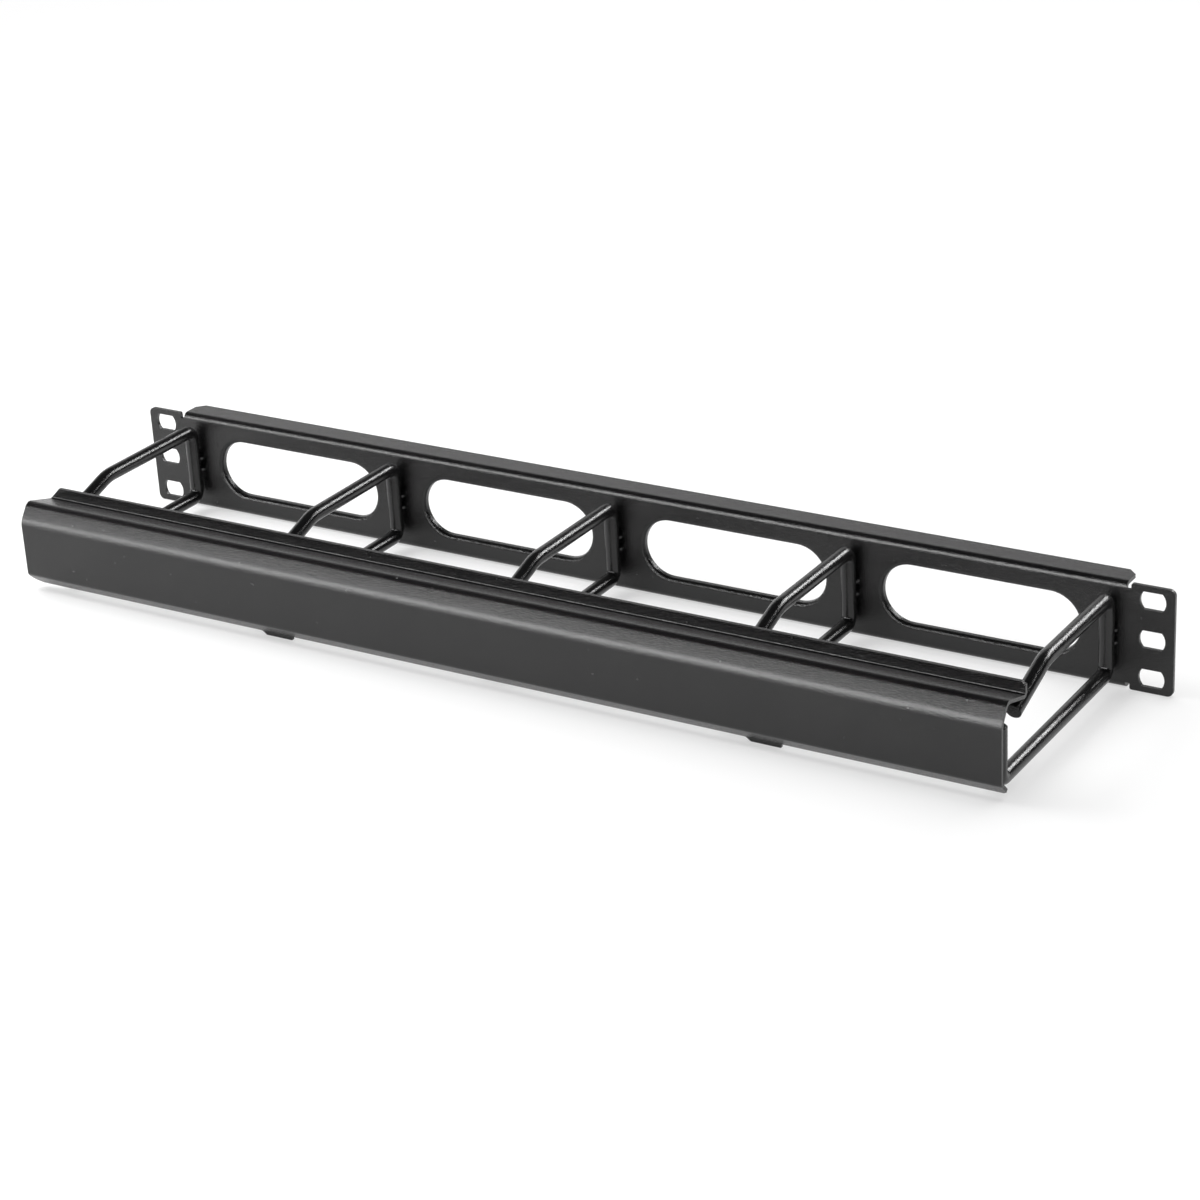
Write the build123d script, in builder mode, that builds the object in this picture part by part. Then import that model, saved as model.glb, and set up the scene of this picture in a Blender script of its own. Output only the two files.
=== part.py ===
from build123d import *
import math
import os

os.makedirs("parts", exist_ok=True)

# A horizontal cable manager one rack unit high, for a 19-inch rack.
# Millimetres. The origin is the centre of the ears' rear faces, which meet the rack's rails.
# +X runs along the panel, +Y goes into the rack and +Z is up.

# Back panel
panel_width = 482.6
panel_height = 43.66
panel_sheet = 1.5
panel_depth = 12.0  # from the front face to the back edges of the flanges
panel_bend = 2.6  # outside radius
ear_width = 19.2  # from the panel's end to the flanges' end
relief_width = 1.8
ear_corner = 2.5
ear_inner_corner = 0.8
flange_corner = 3.4

# Rack slots: round holes with two flats
slots_per_ear = 3
slot_to_end = 8.75  # from a slot's middle to the panel's end
slot_pitch = 15.875
slot_length = 10.4
slot_height = 7.2

# Windows between the rings, with a rim drawn backwards
window_land = 25.0  # between one window and the next
window_height = 25.0
window_drop = 0.3  # of the windows' middle below the panel's
rim_bend = 1.8  # outside radius
rim_land = 1.0  # flat sheet round the bend
rim_depth = 3.3  # from the front face

# Bent wire rings
ring_count = 5
ring_margin = 6.1  # from the flanges' ends to the outer rings' axes
wire = 6.0
stand_off = 0.8  # the gap behind the wire, which the weld beads bridge
ring_reach = 96.3  # from the vertical leg's axis to the front upright's
ring_rise = 6.73  # from the panel's lower edge to the lower leg's axis
ring_drop = 6.13  # from the panel's upper edge to the upper leg's axis
entry_drop = 9.0  # from the upper leg's axis to the upright's end
elbow_reach = 57.7  # from the vertical leg's axis to the top of the slope
slope_angle = 19.1
slope_run = 26.5  # from the top of the slope to the cut end, along Y
ring_bend = 4.0  # radius of the wire's axis
elbow_bend = 20.0  # radius of the wire's axis
wire_end_bevel = 0.6

# Weld beads: two for each ring
weld_heights = (-2.7, 2.5)
weld_radius = 3.7
weld_height = 2.4
weld_bevel = 0.7

# Front cover: one folded sheet that clips over the rings
cover_sheet = 1.5
cover_gap = 0.3  # between the sheet and the wires
cover_left_overhang = 8.6  # past the outer ring's wire
cover_right_overhang = 0.1
face_rise = 2.4  # of the face's top above the uprights' ends
slant_angle = 55.0
fall_angle = 20.0
valley_setback = 1.3  # of the valley bend's axis behind the wires' cut ends
lip_height = 5.13  # above the bottom of the valley
lower_lip_angle = 45.0
face_bend = 2.5  # outside radius
crest_bend = 3.5  # outside radius
lip_left_corner = 4.8
lower_lip_left_corner = 5.0
right_corner = 1.5

# Feet: two places where the cover's lower lip is bent on downwards
left_foot_offset = 6.0  # to the right of the second ring's axis
right_foot_offset = 12.8  # to the right of the fourth ring's axis
foot_width = 15.0
foot_height = 1.73  # below the lower lip
foot_slant = 2.4

# Places that follow from the sizes
panel_front = -panel_sheet
panel_back = panel_front + panel_depth
flanged_length = panel_width - 2 * ear_width
ring_pitch = (flanged_length - 2 * ring_margin) / (ring_count - 1)
ring_xs = [(number - (ring_count - 1) / 2) * ring_pitch for number in range(ring_count)]
leg_y = panel_front - stand_off - wire / 2
upright_y = leg_y - ring_reach
elbow_y = leg_y - elbow_reach
cut_end_y = elbow_y - slope_run
slope = math.tan(math.radians(slope_angle))
ring_bottom = ring_rise - panel_height / 2
ring_top = panel_height / 2 - ring_drop
upright_top = ring_top - entry_drop


def sheet_section(outer_corners, outer_radii, sheet):
    """The outline of a folded sheet that lies to the right of the outer line."""
    with BuildLine() as outline:
        FilletPolyline(*outer_corners, radius=outer_radii)
        offset(amount=sheet, side=Side.RIGHT)
    return outline.line


# A window's rim: the sheet's edge turned backwards all the way round
window_length = ring_pitch - window_land
window_run = (window_length - window_height) / 2
window_half = window_height / 2
rim_reach = rim_bend + rim_land
rim_corners = (
    (panel_front, -window_half - rim_reach),
    (panel_front, -window_half),
    (panel_front + rim_depth, -window_half),
)

with BuildPart() as window_rim:
    with BuildLine(Plane.XZ.offset(-panel_front)) as rim_path:
        Line((0, -window_half), (window_run, -window_half))
        ThreePointArc((window_run, -window_half), (window_run + window_half, 0), (window_run, window_half))
        Line((window_run, window_half), (-window_run, window_half))
        ThreePointArc((-window_run, window_half), (-window_run - window_half, 0), (-window_run, -window_half))
        Line((-window_run, -window_half), (0, -window_half))
    with BuildSketch(Plane.YZ):
        make_face(sheet_section(rim_corners, rim_bend, panel_sheet).edges())
    sweep()

# Back panel: a flat plate with ears, two flanges folded back and four windows
panel_corners = (
    (panel_back, -panel_height / 2),
    (panel_front, -panel_height / 2),
    (panel_front, panel_height / 2),
    (panel_back, panel_height / 2),
)
ear_inner_x = flanged_length / 2 + relief_width
slot_x = panel_width / 2 - slot_to_end
window_xs = [x + ring_pitch / 2 for x in ring_xs[:-1]]

with BuildSketch() as slot_outline:
    Circle(slot_length / 2)
    Rectangle(slot_length, slot_height, mode=Mode.INTERSECT)

with BuildPart() as back_panel:
    with BuildSketch(Plane.YZ.offset(-flanged_length / 2)):
        make_face(sheet_section(panel_corners, panel_bend, panel_sheet).edges())
    extrude(amount=flanged_length)
    chamfer(back_panel.edges().filter_by(Axis.Z).group_by(Axis.Y)[-1], flange_corner)
    with BuildSketch(Plane.XZ.offset(-panel_front)) as plate:
        Rectangle(panel_width, panel_height)
        fillet(plate.vertices(), ear_corner)
        with Locations((0, panel_height / 2), (0, -panel_height / 2)):
            Rectangle(2 * ear_inner_x, 2 * panel_bend, mode=Mode.SUBTRACT)
        upper_and_lower = plate.vertices().filter_by(lambda v: abs(v.Y) > panel_height / 2 - ear_inner_corner)
        fillet(upper_and_lower.filter_by(lambda v: abs(v.X) < ear_inner_x + relief_width), ear_inner_corner)
    extrude(amount=-panel_sheet)
    with BuildSketch(Plane.XZ.offset(-panel_front)):
        with Locations((-slot_x, 0), (slot_x, 0)):
            with GridLocations(0, slot_pitch, 1, slots_per_ear):
                add(slot_outline.sketch)
    extrude(amount=-panel_sheet, mode=Mode.SUBTRACT)
    with BuildSketch(Plane.XZ.offset(-panel_front)):
        with Locations(*[(x, -window_drop) for x in window_xs]):
            SlotOverall(window_length + 2 * rim_reach, window_height + 2 * rim_reach)
    extrude(amount=-panel_sheet, mode=Mode.SUBTRACT)
    with Locations(*[(x, 0, -window_drop) for x in window_xs]):
        add(window_rim.part)
back_panel.part.label = "back_panel"
export_step(back_panel.part, "parts/back_panel.step")

# Rings: one bent wire each, from the front upright round to the sloping cut end, with its weld beads
ring_corners = (
    (upright_y, upright_top),
    (upright_y, ring_bottom),
    (leg_y, ring_bottom),
    (leg_y, ring_top),
    (elbow_y, ring_top),
    (cut_end_y, ring_top - slope_run * slope),
)
for number, x in enumerate(ring_xs, start=1):
    with BuildPart() as ring:
        with BuildLine(Plane.YZ.offset(x)) as ring_path:
            FilletPolyline(*ring_corners, radius=(ring_bend, ring_bend, ring_bend, elbow_bend))
        with BuildSketch(Plane(origin=ring_path.line @ 0, z_dir=ring_path.line % 0)):
            Circle(wire / 2)
        sweep()
        chamfer(ring.faces().filter_by(Axis.Z).edges(), wire_end_bevel)
    ring.part.label = f"ring_{number}"
    export_step(ring.part, f"parts/ring_{number}.step")

    with BuildPart() as welds:
        for height in weld_heights:
            with BuildSketch(Plane.XY.offset(height - weld_height / 2)):
                with Locations((x, panel_front)):
                    Circle(weld_radius)
                    Rectangle(
                        2 * weld_radius,
                        weld_radius,
                        align=(Align.CENTER, Align.MIN),
                        mode=Mode.SUBTRACT,
                    )
            extrude(amount=weld_height)
        chamfer(welds.edges().filter_by(GeomType.CIRCLE), weld_bevel)
        with Locations((x, leg_y, 0)):
            Cylinder(wire / 2, panel_height, mode=Mode.SUBTRACT)
    welds.part.label = f"ring_{number}_welds"
    export_step(welds.part, f"parts/ring_{number}_welds.step")

# Front cover: its folds follow the wires that it clips over
cover_left_x = ring_xs[0] - wire / 2 - cover_left_overhang
cover_right_x = ring_xs[-1] + wire / 2 + cover_right_overhang
foot_xs = (ring_xs[1] + left_foot_offset, ring_xs[-2] + right_foot_offset)
foot_bottom = -panel_height / 2
lower_lip_bottom = foot_bottom + foot_height
face_y = upright_y - wire / 2 - cover_gap - cover_sheet
face_top = upright_top + face_rise
lower_angle = math.radians(lower_lip_angle)
lower_bend_y = upright_y + ring_bend
lower_bend_z = ring_bottom + ring_bend
lower_lip_distance = ring_bend + wire / 2 + cover_gap + cover_sheet
face_bottom = (
    lower_bend_z
    - (lower_lip_distance + (face_y - lower_bend_y) * math.sin(lower_angle)) / math.cos(lower_angle)
)
lower_lip_y = face_y + (face_bottom - lower_lip_bottom) / math.tan(lower_angle)
fall = math.tan(math.radians(fall_angle))
slant = math.tan(math.radians(slant_angle))
valley_inner = crest_bend - cover_sheet
valley_y = cut_end_y + valley_setback
wire_to_valley = (wire / 2 + cover_gap + crest_bend) / math.cos(math.radians(slope_angle))
valley_z = ring_top - (elbow_y - valley_y) * slope + wire_to_valley
below_valley = valley_z - valley_inner / math.cos(math.radians(fall_angle))
crest_y = (below_valley - face_top + slant * face_y + fall * valley_y) / (slant + fall)
crest_z = face_top + slant * (crest_y - face_y)
lip_y = valley_y + valley_inner
lip_top = valley_z - valley_inner + lip_height
cover_corners = (
    (lower_lip_y, lower_lip_bottom),
    (face_y, face_bottom),
    (face_y, face_top),
    (crest_y, crest_z),
    (lip_y, below_valley - fall * valley_inner),
    (lip_y, lip_top),
)

# Foot: the lower lip goes on round a reverse bend and straight down
foot_inner = face_bend - cover_sheet
foot_corner_run = foot_inner * math.tan(lower_angle / 2)
foot_y = lower_lip_y + foot_corner_run * math.cos(lower_angle)
foot_corners = (
    (lower_lip_y - cover_sheet * math.cos(lower_angle), lower_lip_bottom + cover_sheet * math.sin(lower_angle)),
    (foot_y, lower_lip_bottom - foot_corner_run * math.sin(lower_angle)),
    (foot_y, foot_bottom),
)

with BuildPart() as foot:
    with BuildSketch(Plane.YZ.offset(-foot_width / 2)):
        make_face(sheet_section(foot_corners, foot_inner, cover_sheet).edges())
    extrude(amount=foot_width)
    with BuildSketch(Plane.XZ.offset(-face_y)):
        with BuildLine():
            Polyline(
                (-foot_width / 2, 0),
                (-foot_width / 2, lower_lip_bottom),
                (-foot_width / 2 + foot_slant, foot_bottom),
                (foot_width / 2, foot_bottom),
                (foot_width / 2, 0),
                close=True,
            )
        make_face()
    extrude(amount=face_y, mode=Mode.INTERSECT)

with BuildPart() as front_cover:
    with BuildSketch(Plane.YZ.offset(cover_left_x)):
        radii = (face_bend, face_bend, crest_bend, valley_inner)
        make_face(sheet_section(cover_corners, radii, cover_sheet).edges())
    extrude(amount=cover_right_x - cover_left_x)
    right_end = front_cover.faces().sort_by(Axis.X)[-1].edges()
    chamfer([*right_end.filter_by(Axis.Y), right_end.sort_by(Axis.Z)[0]], right_corner)
    fillet(front_cover.faces().sort_by(Axis.X)[0].edges().sort_by(Axis.Z)[0], lower_lip_left_corner)
    with BuildSketch(Plane.XZ.offset(-valley_y)):
        with BuildLine():
            Polyline(
                (cover_left_x, lip_top - lip_left_corner),
                (cover_left_x + lip_left_corner, lip_top),
                (cover_left_x, lip_top),
                close=True,
            )
        make_face()
    extrude(amount=-2 * crest_bend, mode=Mode.SUBTRACT)
    with Locations(*[(x, 0, 0) for x in foot_xs]):
        add(foot.part)
front_cover.part.label = "front_cover"
export_step(front_cover.part, "parts/front_cover.step")
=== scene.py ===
import math

import bpy
import numpy as np
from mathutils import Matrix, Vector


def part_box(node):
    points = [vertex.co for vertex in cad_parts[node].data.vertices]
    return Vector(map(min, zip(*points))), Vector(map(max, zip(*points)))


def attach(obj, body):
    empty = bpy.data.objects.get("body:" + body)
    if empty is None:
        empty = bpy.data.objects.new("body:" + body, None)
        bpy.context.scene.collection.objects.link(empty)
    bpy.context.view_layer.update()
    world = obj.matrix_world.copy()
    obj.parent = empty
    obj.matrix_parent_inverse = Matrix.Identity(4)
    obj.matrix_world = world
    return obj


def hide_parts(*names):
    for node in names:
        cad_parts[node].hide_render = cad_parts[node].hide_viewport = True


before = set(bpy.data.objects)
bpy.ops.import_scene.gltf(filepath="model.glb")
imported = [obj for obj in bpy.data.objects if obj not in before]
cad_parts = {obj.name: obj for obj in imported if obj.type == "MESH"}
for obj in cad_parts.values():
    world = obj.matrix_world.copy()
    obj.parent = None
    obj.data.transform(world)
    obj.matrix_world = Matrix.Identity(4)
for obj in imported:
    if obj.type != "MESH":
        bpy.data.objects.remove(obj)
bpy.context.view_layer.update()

print("frame loaded:", ", ".join(sorted(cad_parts)))


# Shader maths reads as plain expressions: each operator adds one Math node
class Value:
    def __init__(self, maker, socket):
        self.maker, self.socket = maker, socket

    def maths(self, operation, first, second):
        return self.maker.node("ShaderNodeMath", {"operation": operation}, {0: first, 1: second})

    def __add__(self, other):
        return self.maths("ADD", self, other)

    def __sub__(self, other):
        return self.maths("SUBTRACT", self, other)

    def __mul__(self, other):
        return self.maths("MULTIPLY", self, other)

    __radd__, __rmul__ = __add__, __mul__


class Maker:
    def __init__(self, tree):
        self.tree = tree
        tree.nodes.clear()

    def node(self, kind, settings=None, inputs=None, output=0):
        made = self.tree.nodes.new(kind)
        for name, setting in (settings or {}).items():
            if name == "stops":
                self.setStops(made.color_ramp.elements, setting)
            else:
                setattr(made, name, setting)
        for name, given in (inputs or {}).items():
            if isinstance(given, Value):
                self.tree.links.new(given.socket, made.inputs[name])
            else:
                made.inputs[name].default_value = given
        return Value(self, made.outputs[output]) if made.outputs else None

    def setStops(self, elements, stops):
        while len(elements) < len(stops):
            elements.new(1.0)
        for element, (position, colour) in zip(elements, stops):
            element.position = position
            element.color = (*colour, 1.0)

    def noise(self, place, scale, detail, roughness):
        inputs = {"Vector": place, "Scale": scale, "Detail": detail, "Roughness": roughness}
        return self.node("ShaderNodeTexNoise", inputs=inputs)

    def ease(self, value, low, high, start=0.0, end=1.0):
        # a smooth step from start to end while the value goes from low to high
        inputs = {"Value": value, "From Min": low, "From Max": high, "To Min": start, "To Max": end}
        return self.node("ShaderNodeMapRange", {"interpolation_type": "SMOOTHSTEP"}, inputs)

    def mixShaders(self, factor, first, second):
        return self.node("ShaderNodeMixShader", inputs={0: factor, 1: first, 2: second})


def newMaterial(name):
    material = bpy.data.materials.new(name)
    material.use_nodes = True
    return material, Maker(material.node_tree)


def newObject(name, data):
    made = bpy.data.objects.new(name, data)
    bpy.context.scene.collection.objects.link(made)
    return made


powderCoat = {
    "colour": (0.0050, 0.0050, 0.0053),
    "cloudColour": (0.0078, 0.0077, 0.0075),
    "cloudStops": (0.35, 0.80),  # noise levels of the one colour and the other
    # the scales are per metre and the heights in metres
    "cloud": {"scale": 38.0, "detail": 3.0, "roughness": 0.55},
    "grain": {"scale": 1900.0, "detail": 2.0, "roughness": 0.6},
    "grainHeight": 0.000175,
    "peel": {"scale": 900.0, "detail": 2.0, "roughness": 0.5},
    "peelHeight": 0.000032,
    "roughness": 0.23,
    "roughnessSpread": 0.10,
    "bending": 1.48,  # index of refraction of the coat's clear part
    "speck": {"scale": 520.0, "detail": 1.0, "roughness": 0.4},  # rare pale specks of dust
    "speckStops": (0.79, 0.82),
    "speckColour": (0.10, 0.10, 0.10),
}


def makePowderCoat(name, coat):
    # height = peel noise * its height + grain noise * its height; colour = slow clouds under rare specks
    material, finish = newMaterial(name)
    place = finish.node("ShaderNodeTexCoord", output="Object")
    cloud, grain, peel, speck = (finish.noise(place, **coat[k]) for k in ("cloud", "grain", "peel", "speck"))
    clouded = finish.node(
        "ShaderNodeValToRGB",
        {"stops": list(zip(coat["cloudStops"], (coat["colour"], coat["cloudColour"])))},
        {"Fac": cloud},
    )
    colour = finish.node(
        "ShaderNodeMix",
        {"data_type": "RGBA"},
        {"Factor": finish.ease(speck, *coat["speckStops"]), 6: clouded, 7: (*coat["speckColour"], 1.0)},
        output=2,
    )
    height = peel * coat["peelHeight"] + grain * coat["grainHeight"]
    bump = finish.node("ShaderNodeBump", inputs={"Height": height, "Strength": 1.0, "Distance": 1.0})
    roughness = coat["roughness"] + (cloud - 0.5) * coat["roughnessSpread"]
    shader = finish.node(
        "ShaderNodeBsdfPrincipled",
        inputs={"Base Color": colour, "Roughness": roughness, "Normal": bump, "IOR": coat["bending"]},
    )
    finish.node("ShaderNodeOutputMaterial", inputs={"Surface": shader})
    return material


panelCoat = makePowderCoat("panelCoat", powderCoat)
wireCoat = makePowderCoat("wireCoat", {**powderCoat, "roughness": 0.19, "grainHeight": 0.000095})
for name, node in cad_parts.items():
    node.data.materials.clear()
    node.data.materials.append(wireCoat if name.startswith("ring") else panelCoat)
print("powder coat on", len(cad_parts), "nodes")

coverSheet = {
    "sheet": 0.0015,
    # the outer line, from the lower lip's edge up: depth behind the face and height over the feet's ends
    "corners": (
        (0.005355, 0.00173),
        (0.0, 0.007085),
        (0.0, 0.03093),
        (0.005338, 0.038553),
        (0.0202, 0.03419),
    ),
    "bends": (0.0025, 0.0070, 0.0035, 0.0006),  # the outer line's radii
    "bendSteps": 12,
    "footBend": 0.0010,
    "feet": (-0.1020, 0.1208),  # their middles
    "footWidth": 0.0150,
    "footSlant": 0.0024,  # a foot's left side leans in by this much
    "upperCut": 0.0048,  # the upper lip's left corner, cut at 45 degrees
    "lowerRound": 0.0050,  # the lower lip's left corner
    "roundSteps": 9,
    "rightCut": 0.0015,
    "sharpAngle": 30.0,  # degrees, as is the next
    "bevelAngle": 40.0,
    "edgeBevel": 0.00025,
    "bevelSegments": 2,
}


def foldLine(corners, radii, steps):
    # each bend = its start + radius * (sin(turned) * along + (1 - cos(turned)) * towards the bend's centre)
    runs = np.diff(corners, axis=0)
    runs = runs / np.linalg.norm(runs, axis=1)[:, None]
    points, headings = [corners[0]], [runs[0]]
    for corner, before, after, radius in zip(corners[1:-1], runs[:-1], runs[1:], radii):
        side = np.sign(before[0] * after[1] - before[1] * after[0]) * np.array((-before[1], before[0]))
        turn = math.acos(before @ after)
        turned = np.linspace(0.0, turn, steps + 1)[:, None]
        start = corner - before * radius * math.tan(turn / 2)
        points += list(start + radius * (np.sin(turned) * before + (1 - np.cos(turned)) * side))
        headings += list(np.cos(turned) * before + np.sin(turned) * side)
    return np.array([*points, corners[-1]]), np.array([*headings, runs[-1]])


def coverRows(look, corners, ground):
    # the sheet's outer line from the feet's ends up, with rows across the corner cuts: near the lower edge
    # at the round's radius * (1 - cos(angle)), and one cut's depth from either edge
    line, heading = foldLine(corners, look["bends"], look["bendSteps"])
    angle = np.linspace(0.0, math.pi / 2, look["roundSteps"] + 1)
    near = np.unique([look["rightCut"], *(look["lowerRound"] * (1 - np.cos(angle)))])[:, None]
    lowerEdge = line[0] + near * heading[0]
    line = np.vstack([lowerEdge, line[1:-1], line[-1] - look["rightCut"] * heading[-1], line[-1]])
    heading = np.vstack([np.repeat(heading[:1], len(near), 0), heading[1:], heading[-1:]])
    # the feet carry on from the lower edge: round a bend as far as its tangent point, then straight down
    halfTurn = math.acos(heading[0, 1]) / 2
    bent = corners[0] - heading[0] * look["footBend"] * math.tan(halfTurn)
    footCorners = np.array([(bent[0], ground), bent, corners[0]])
    foot, footHeading = foldLine(footCorners, [look["footBend"]], look["bendSteps"])
    foot, footHeading = foot[:-2], footHeading[:-2]
    return np.vstack([foot, line]), np.vstack([footHeading, heading]), len(foot)


def coverColumns(look, line, footRows, corners, low, high):
    # where each row has its ends and its feet's sides along X. The lower lip's round takes
    # radius - root(radius squared - (radius - distance from the edge) squared) off the left end;
    # a cut at 45 degrees takes its depth - distance from the edge
    fromLow = np.append(np.zeros(footRows), np.linalg.norm(line[footRows:] - line[footRows], axis=1))
    upperLip = line[:, 0] > corners[-1, 0] - look["sheet"] / 2
    fromTop = np.where(upperLip, corners[-1, 1] - line[:, 1], 1.0)
    rest = np.clip(look["lowerRound"] - fromLow, 0.0, None)
    rounded = look["lowerRound"] - np.sqrt(look["lowerRound"] ** 2 - rest**2)
    left = low[0] + rounded + np.clip(look["upperCut"] - fromTop, 0.0, None)
    right = high[0] - np.clip(look["rightCut"] - np.minimum(fromLow, fromTop), 0.0, None)
    drop = (corners[0, 1] - line[:, 1]) / (corners[0, 1] - low[2])
    lean = look["footSlant"] * np.clip(drop, 0.0, 1.0)
    half = look["footWidth"] / 2
    columns = [left]
    for middle in look["feet"]:
        columns += [middle - half + lean, np.full(len(line), middle + half)]
    return np.column_stack([*columns, right])


def closedSheet(across, line, heading, footRows, thickness):
    # outer grid = every column of every row; inner grid = outer + thickness * the side to the right of the
    # heading; below the lower edge only the feet's columns are kept, and every free edge is closed across
    rightward = np.column_stack([heading[:, 1], -heading[:, 0]])
    grids = []
    for rows in (line, line + thickness * rightward):
        depth, height = (np.repeat(rows[:, axis : axis + 1], across.shape[1], 1) for axis in (0, 1))
        grids.append(np.dstack([across, depth, height]).reshape(-1, 3))
    number = np.arange(across.size).reshape(across.shape)
    quads = np.stack([number[:-1, :-1], number[:-1, 1:], number[1:, 1:], number[1:, :-1]], axis=-1)
    kept = np.ones(quads.shape[:2], bool)
    kept[:footRows, ::2] = False
    outer = quads[kept]
    edges = [(a, b) for quad in outer.tolist() for a, b in zip(quad, quad[1:] + quad[:1])]
    known = set(edges)
    rims = [(b, a, a + across.size, b + across.size) for a, b in edges if (b, a) not in known]
    faces = np.vstack([outer, outer[:, ::-1] + across.size, rims])
    used, packed = np.unique(faces, return_inverse=True)
    return np.vstack(grids)[used], packed.reshape(-1, 4)


def makeCover(look):
    low, high = (np.array(corner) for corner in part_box("front_cover"))
    lipTop = (high[1] - low[1] - look["sheet"], high[2] - low[2])
    corners = np.array([*look["corners"], lipTop]) + low[1:]
    line, heading, footRows = coverRows(look, corners, low[2])
    across = coverColumns(look, line, footRows, corners, low, high)
    places, faces = closedSheet(across, line, heading, footRows, look["sheet"])
    mesh = bpy.data.meshes.new("frontCoverSheet")
    mesh.from_pydata(places.tolist(), [], faces.tolist())
    mesh.polygons.foreach_set("use_smooth", np.ones(len(faces), bool))
    mesh.set_sharp_from_angle(angle=math.radians(look["sharpAngle"]))
    mesh.materials.append(panelCoat)
    cover = newObject("frontCoverSheet", mesh)
    bevel = cover.modifiers.new("edges", "BEVEL")
    bevel.width, bevel.segments = look["edgeBevel"], look["bevelSegments"]
    bevel.limit_method, bevel.angle_limit = "ANGLE", math.radians(look["bevelAngle"])
    bevel.harden_normals = True
    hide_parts("front_cover")
    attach(cover, "cover")


makeCover(coverSheet)
print("cover folded")

floorLook = {
    "reach": 6.0,  # half the floor's width, metres
    "colour": (0.95, 0.95, 0.95),
    "level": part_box("back_panel")[0].z,  # the panel's lower flange stands on it
    "glow": 0.54,  # share of plain white that the camera and reflections see
}
plainWhite = {"Color": (1.0, 1.0, 1.0, 1.0), "Strength": 1.0}


def addWhite(maker, shader, share):
    # plain white for camera, glossy and transmission rays, and the shader alone for other light
    paths = maker.node("ShaderNodeLightPath").socket.node.outputs
    camera, glossy, transmission = (
        Value(maker, paths[ray]) for ray in ("Is Camera Ray", "Is Glossy Ray", "Is Transmission Ray")
    )
    white = maker.node("ShaderNodeEmission", inputs=plainWhite)
    return maker.mixShaders((camera + glossy + transmission) * share, shader, white)


def makeFloor(look):
    # a flat square: each corner = one pair of signs * the reach, at the level of the lowest flange
    signs = np.array([(-1, -1), (1, -1), (1, 1), (-1, 1)], float)
    corners = np.column_stack([signs * look["reach"], np.full(4, look["level"])])
    mesh = bpy.data.meshes.new("floor")
    mesh.from_pydata(corners.tolist(), [], [(0, 1, 2, 3)])
    material, finish = newMaterial("paleFloor")
    matt = finish.node("ShaderNodeBsdfDiffuse", inputs={"Color": (*look["colour"], 1.0)})
    finish.node("ShaderNodeOutputMaterial", inputs={"Surface": addWhite(finish, matt, look["glow"])})
    mesh.materials.append(material)
    newObject("floor", mesh)


makeFloor(floorLook)
print("floor laid")

studio = {
    # the white backdrop: sines of the elevations, then places along X and Y, between which it fades
    "backdropTop": (0.45, 0.56),
    "backdropSide": (-0.05, 0.25),
    "backdropFront": (-0.2, 0.3),
    "backdrop": 1.0,
    "right": 0.05,  # share of it that is left on the right
    "front": 0.45,  # level in front
    "ceiling": 0.02,
    "aim": (0.0, -0.05, 0.0),
    # azimuth from the front towards the right and elevation in degrees, distance, width and height in metres
    "lamps": {
        "frontBox": {
            "azimuth": -8.0,
            "elevation": 18.4,
            "distance": 1.6,
            "size": (3.4, 0.68),
            "radiance": 11.4,
            "floodlit": False,
        },
        "backLamp": {
            "azimuth": 149.0,
            "elevation": 31.7,
            "distance": 1.6,
            "size": (0.8, 0.24),
            "radiance": 24.0,
            "floodlit": False,
        },
        "fillLamp": {
            "azimuth": -78.0,
            "elevation": 42.0,
            "distance": 0.85,
            "size": (0.5, 0.5),
            "radiance": 6.4,
            "reflected": False,
        },
    },
    "sun": {"azimuth": -150.0, "elevation": 60.0, "distance": 2.0, "spread": 95.0, "strength": 3.15},
}


def placeLight(name, light, lamp, aim):
    # place = aim + distance * outward, where outward = (sin a cos e, -cos a cos e, sin e) of the two angles
    azimuth, elevation = math.radians(lamp["azimuth"]), math.radians(lamp["elevation"])
    level = math.cos(elevation)
    outward = np.array((math.sin(azimuth) * level, -math.cos(azimuth) * level, math.sin(elevation)))
    holder = newObject(name, light)
    holder.location = np.array(aim) + outward * lamp["distance"]
    holder.rotation_euler = (math.pi / 2 - elevation, 0.0, azimuth)
    holder.visible_camera = False
    return holder


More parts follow.
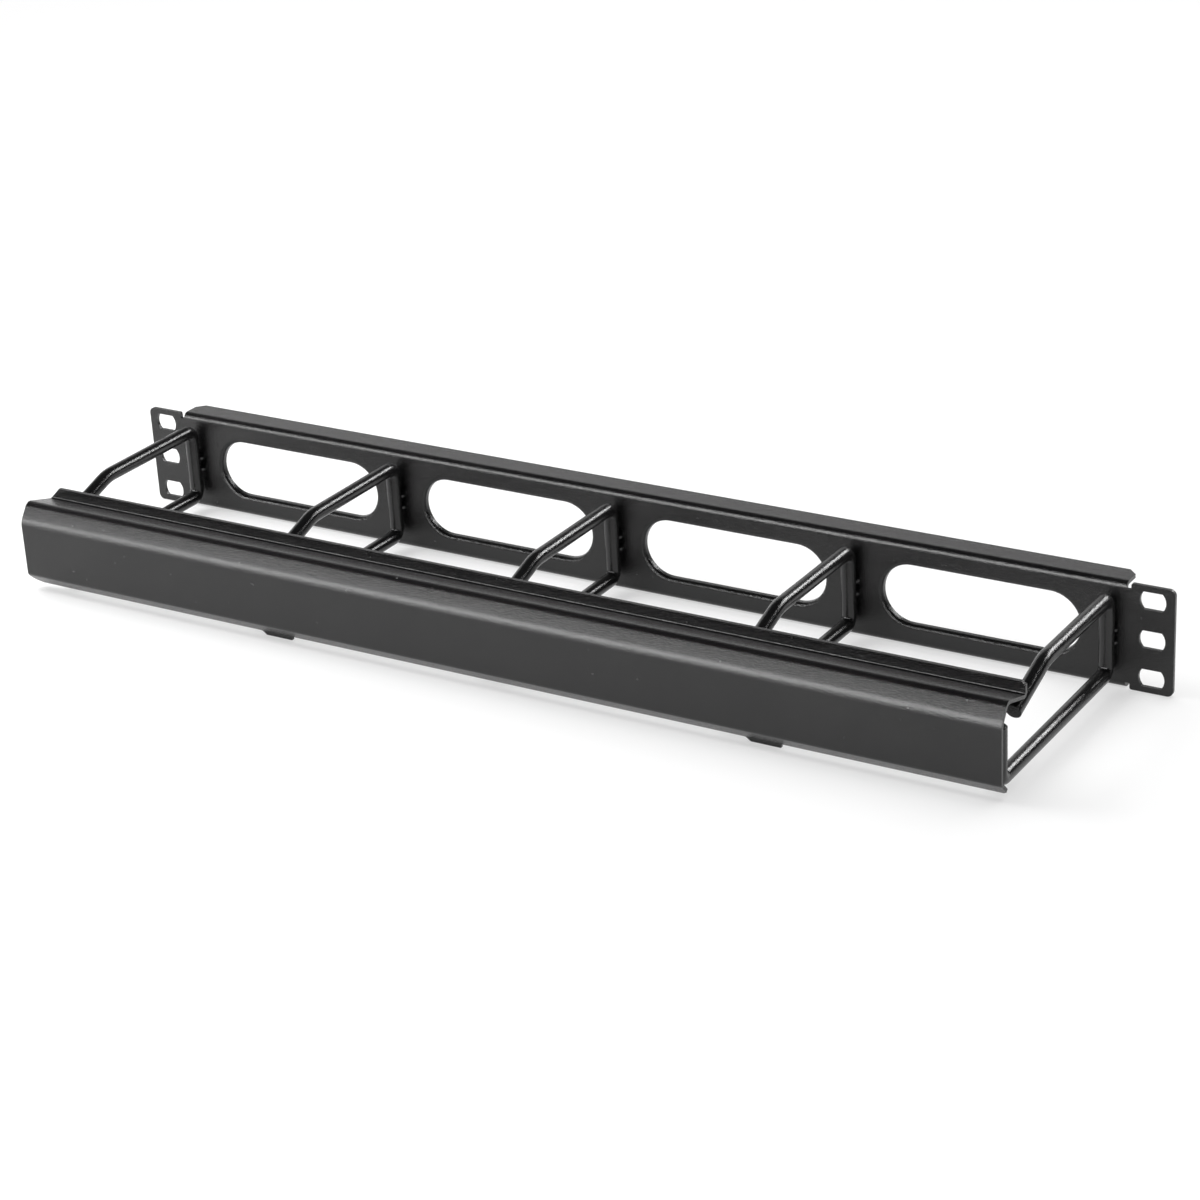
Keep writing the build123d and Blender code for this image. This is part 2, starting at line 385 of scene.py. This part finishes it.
def makeLamp(name, lamp, aim):
    # a glowing panel; watts = radiance * pi * area
    light = bpy.data.lights.new(name, "AREA")
    light.shape = "RECTANGLE"
    light.size, light.size_y = lamp["size"]
    light.energy = lamp["radiance"] * math.pi * light.size * light.size_y
    holder = placeLight(name, light, lamp, aim)
    holder.visible_glossy = lamp.get("reflected", True)
    holder.visible_diffuse = lamp.get("floodlit", True)


def makeSun(lamp, aim):
    # an even soft light for the floor and the shadows, left out of reflections
    light = bpy.data.lights.new("softSun", "SUN")
    light.energy, light.angle = lamp["strength"], math.radians(lamp["spread"])
    placeLight("softSun", light, lamp, aim).visible_glossy = False


def makeStudio(light):
    # world level = low share * (front-to-back level * left-to-right share) + ceiling; the camera sees white
    world = bpy.data.worlds.new("studio")
    bpy.context.scene.world = world
    world.use_nodes = True
    sky = Maker(world.node_tree)
    direction = sky.node("ShaderNodeTexCoord", output="Generated")
    split = sky.node("ShaderNodeSeparateXYZ", inputs={"Vector": direction}).socket.node.outputs
    across, along, up = (Value(sky, split[axis]) for axis in "XYZ")
    behind = sky.ease(along, *light["backdropFront"], light["front"], light["backdrop"])
    leftward = sky.ease(across, *light["backdropSide"], 1.0, light["right"])
    low = sky.ease(up, *light["backdropTop"], 1.0, 0.0)
    level = low * (behind * leftward) + light["ceiling"]
    lit = sky.node("ShaderNodeBackground", inputs={**plainWhite, "Strength": level})
    white = sky.node("ShaderNodeBackground", inputs=plainWhite)
    camera = sky.node("ShaderNodeLightPath", output="Is Camera Ray")
    sky.node("ShaderNodeOutputWorld", inputs={"Surface": sky.mixShaders(camera, lit, white)})
    for name, lamp in light["lamps"].items():
        makeLamp(name, lamp, light["aim"])
    makeSun(light["sun"], light["aim"])
    bpy.context.scene.view_settings.view_transform = "Standard"


makeStudio(studio)
print("studio lit")

view = {
    "place": (0.6198, -0.9900, 0.4954),
    "turn": (65.866, 2.964, 31.172),  # degrees about X, Y and Z
    "lens": 92.86,  # millimetres, as is the sensor's width
    "sensor": 36.0,
}


def makeCamera(look):
    lens = bpy.data.cameras.new("camera")
    lens.lens, lens.sensor_width, lens.sensor_fit = look["lens"], look["sensor"], "HORIZONTAL"
    holder = newObject("camera", lens)
    holder.location = look["place"]
    holder.rotation_euler = [math.radians(angle) for angle in look["turn"]]
    bpy.context.scene.camera = holder


makeCamera(view)
